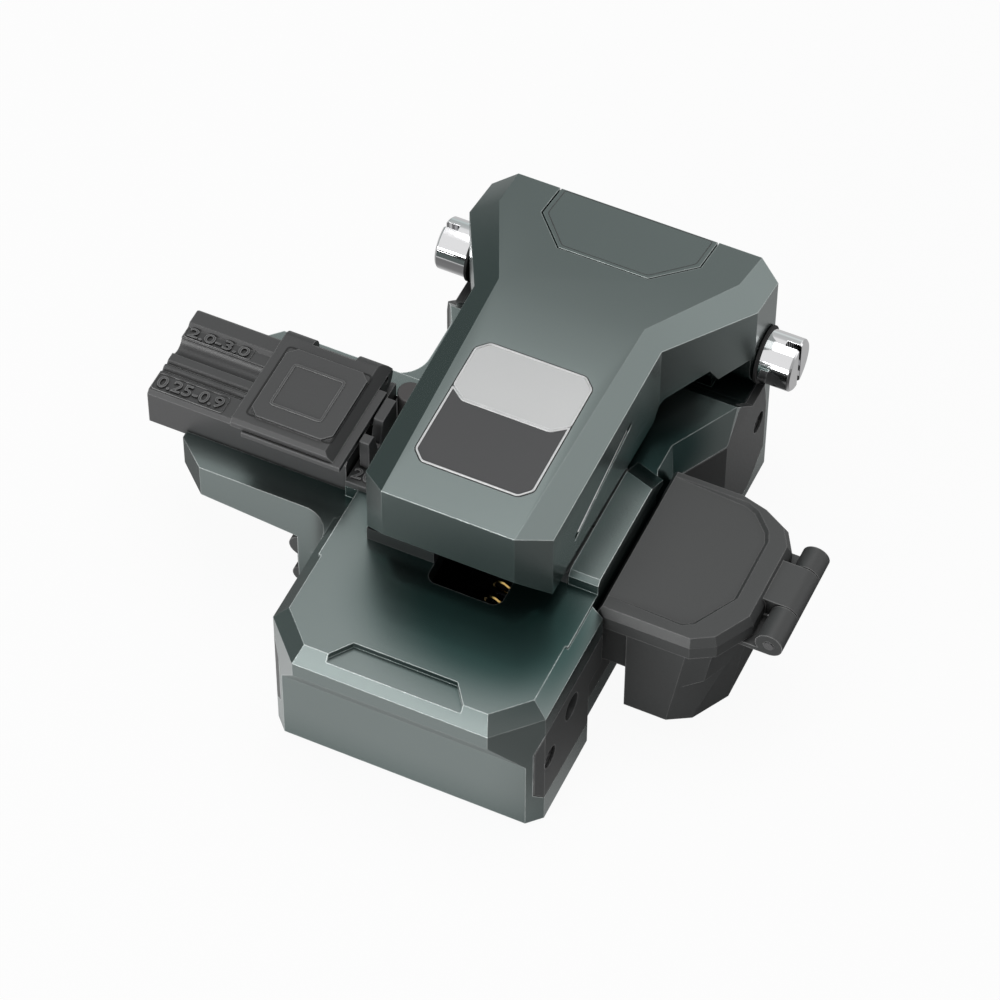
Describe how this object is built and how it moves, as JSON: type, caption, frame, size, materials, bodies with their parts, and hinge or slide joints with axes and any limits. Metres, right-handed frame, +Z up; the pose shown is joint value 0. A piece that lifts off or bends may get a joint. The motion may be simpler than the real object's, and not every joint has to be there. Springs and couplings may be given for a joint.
{
  "type": "fibre cleaver",
  "caption": "Bench fibre cleaver: faceted metal body and hinged lid with chrome pivots, sliding blade carriage, grooved fibre holder on a side platform and a lidded scrap box.",
  "frame": {"origin": "middle of the footprint, on the surface that the tool stands on", "axes": "+X along the fibre from holder to scrap box, +Y from the front lip to the hinge, +Z up"},
  "size_m": [0.1058, 0.0902, 0.0477],
  "materials": {
    "casting": "satin",
    "lid_casting": "satin",
    "cover_plastic": "matte",
    "holder_plastic": "matte",
    "label_metal": "satin",
    "label_dark": "matte",
    "chrome": "polished",
    "rubber": "matte",
    "steel": "satin",
    "carbide": "polished",
    "anodised": "satin",
    "spring_brass": "polished",
    "bronze": "satin"
  },
  "bodies": {
    "base": {"base_body": "casting", "bottom_plate": "anodised", "bottom_plate_screws": "steel", "carriage_bumpers": "rubber", "collector_box": "cover_plastic", "collector_pin": "steel", "collector_screws": "steel", "drive_spring": "spring_brass", "fibre_guide": "holder_plastic", "guide_post": "steel", "guide_rail": "steel", "guide_rail_screws": "steel", "hinge_knob_left": "chrome", "hinge_knob_right": "chrome", "hinge_rings": "rubber", "hinge_shaft": "steel", "holder_stop": "steel", "left_side_cover": "cover_plastic", "lower_clamp_left": "anodised", "lower_clamp_right": "anodised", "lower_pad_left": "rubber", "lower_pad_right": "rubber", "right_side_cover": "cover_plastic", "rubber_feet": "rubber", "scale_plate": "cover_plastic", "side_cover_screws": "steel", "web_cover": "cover_plastic"},
    "carriage": {"blade_carriage": "anodised", "rail_runner": "steel", "blade_holder": "anodised", "blade_axle": "steel", "blade_axle_nut": "steel"},
    "blade": {"blade_wheel": "carbide", "blade_hub": "anodised"},
    "lid": {"lid_shell": "lid_casting", "label_upper": "label_metal", "label_lower": "label_dark", "lid_frame": "anodised", "hinge_bushes": "bronze", "lid_rear_panel": "lid_casting"},
    "clamp_left": {"upper_clamp_left": "anodised", "upper_pad_left": "rubber"},
    "clamp_right": {"upper_clamp_right": "anodised", "upper_pad_right": "rubber"},
    "anvil": {"anvil": "anodised", "anvil_pad": "rubber"},
    "holder": {"holder_body": "holder_plastic", "holder_magnets": "steel", "holder_pin": "steel"},
    "holder_clamp": {"holder_clamp": "holder_plastic", "holder_grip_pad": "rubber", "clamp_plate": "holder_plastic"},
    "collector_lid": {"collector_lid": "cover_plastic"}
  },
  "joints": [
    {"name": "lid_hinge", "type": "hinge", "parent": "base", "child": "lid", "pos_m": [0.00425, 0.0386, 0.0276], "axis": [-1, 0, 0], "range_deg": [0, 70]},
    {"name": "carriage_slide", "type": "slide", "parent": "base", "child": "carriage", "axis": [0, -1, 0], "range_m": [0, 0.0205], "stiffness_N_per_m": 30, "springref_m": -0.004, "deforming": ["drive_spring"]},
    {"name": "blade_spin", "type": "hinge", "parent": "carriage", "child": "blade", "pos_m": [0.00625, 0.0053, 0.0227], "axis": [1, 0, 0], "continuous": true},
    {"name": "clamp_left_slide", "type": "slide", "parent": "lid", "child": "clamp_left", "axis": [0, 0, 1], "range_m": [0, 0.0012], "stiffness_N_per_m": 400, "springref_m": -0.001},
    {"name": "clamp_right_slide", "type": "slide", "parent": "lid", "child": "clamp_right", "axis": [0, 0, 1], "range_m": [0, 0.0012], "stiffness_N_per_m": 400, "springref_m": -0.001},
    {"name": "anvil_slide", "type": "slide", "parent": "lid", "child": "anvil", "axis": [0, 0, 1], "range_m": [0, 0.0012], "stiffness_N_per_m": 400, "springref_m": -0.001},
    {"name": "holder_slide", "type": "slide", "parent": "base", "child": "holder", "axis": [-1, 0, 0], "range_m": [0, 0.009]},
    {"name": "holder_clamp_hinge", "type": "hinge", "parent": "holder", "child": "holder_clamp", "pos_m": [-0.02575, 0.0034, 0.03475], "axis": [-1, 0, 0], "range_deg": [0, 100]},
    {"name": "collector_lid_hinge", "type": "hinge", "parent": "base", "child": "collector_lid", "pos_m": [0.05065, -0.0017, 0.0244], "axis": [0, 1, 0], "range_deg": [0, 110]}
  ]
}
